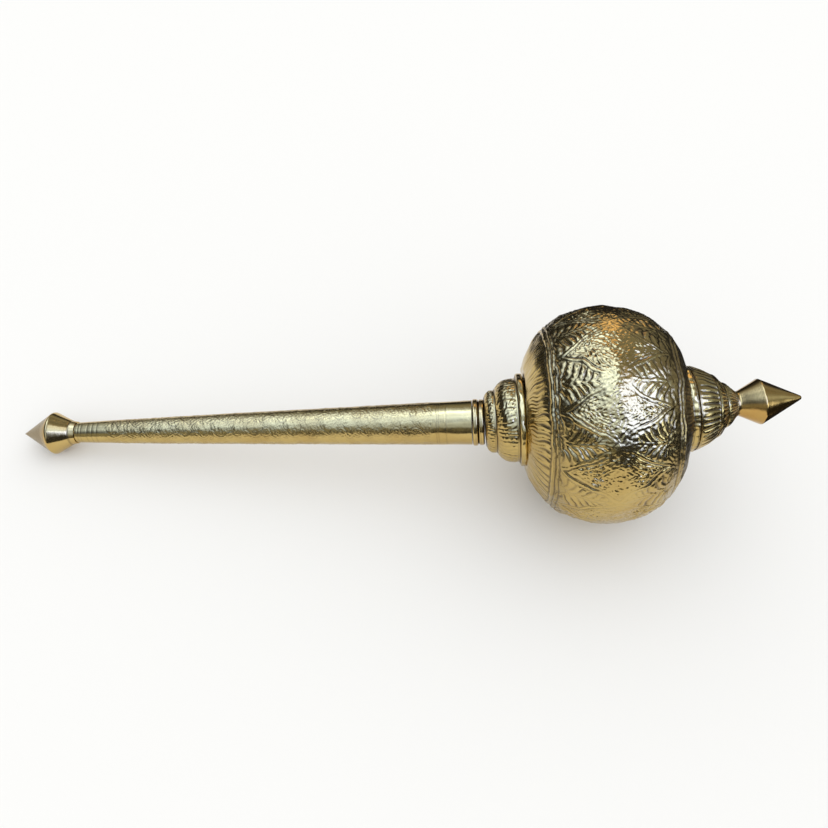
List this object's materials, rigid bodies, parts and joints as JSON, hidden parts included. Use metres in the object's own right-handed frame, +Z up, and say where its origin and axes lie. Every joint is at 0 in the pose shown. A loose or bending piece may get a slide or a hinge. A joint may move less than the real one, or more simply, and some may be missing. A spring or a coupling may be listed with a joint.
{
  "type": "ceremonial mace",
  "caption": "Brass ceremonial mace: embossed squat globe with fluted cup and cap, bicone finial, tapered engraved handle and pointed pommel, lying on its side.",
  "frame": {"origin": "the small resting flat on the underside of the globe", "axes": "+Z up; +X level, along the length of the mace from the pommel's tip to the finial's tip; +Y completes the right-handed set, away from the side that the picture shows"},
  "size_m": [0.6032, 0.1661, 0.1637],
  "materials": {
    "pommel_brass": "turned and polished brass, lightly tarnished",
    "handle_brass": "engraved brass, dark in the cuts and worn bright between them",
    "collar_brass": "turned and polished brass",
    "cup_brass": "fluted brass, dark in the flutes",
    "globe_brass": "embossed and chased brass, dark in the hollows and worn bright on the raised work",
    "cap_brass": "fluted brass, dark in the flutes",
    "finial_brass": "turned and polished brass"
  },
  "bodies": {
    "root": {"pommel": "pommel_brass", "handle": "handle_brass", "collar": "collar_brass", "cup": "cup_brass", "globe": "globe_brass", "cap": "cap_brass", "finial": "finial_brass"}
  },
  "joints": []
}
